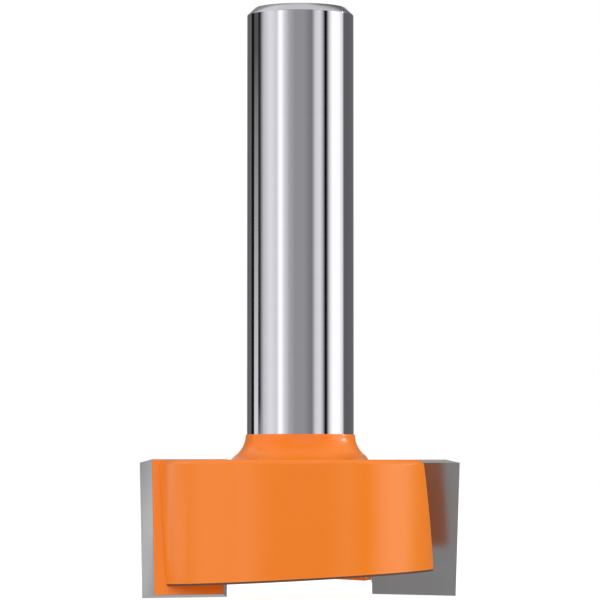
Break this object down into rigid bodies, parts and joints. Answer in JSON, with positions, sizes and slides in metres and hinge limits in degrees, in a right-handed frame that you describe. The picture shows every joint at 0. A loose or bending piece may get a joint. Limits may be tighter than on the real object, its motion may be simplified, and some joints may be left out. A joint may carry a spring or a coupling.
{
  "type": "surfacing router bit",
  "caption": "Wide, flat-bottomed cutting head with falling wing backs, brazed carbide tips and open gullets below a long straight shank.",
  "frame": {"origin": "on the bit's axis, level with the lowest corners of the cutting edges, at the bottom of the cutting head", "axes": "+Z along the bit's axis from the cutting end to the shank's end; seen from +Z the bit cuts turning clockwise; the first tip's rake face looks towards -Y, on the +X side"},
  "size_m": [0.038, 0.0334, 0.07],
  "materials": {
    "orange_coating": "satin orange coating on the head and neck",
    "ground_steel": "bare ground and polished shank of the same steel body",
    "ground_carbide": "bare fine-ground carbide"
  },
  "bodies": {
    "root": {"steel_body": "orange_coating", "carbide_tip_1": "ground_carbide", "carbide_tip_2": "ground_carbide"}
  },
  "joints": []
}
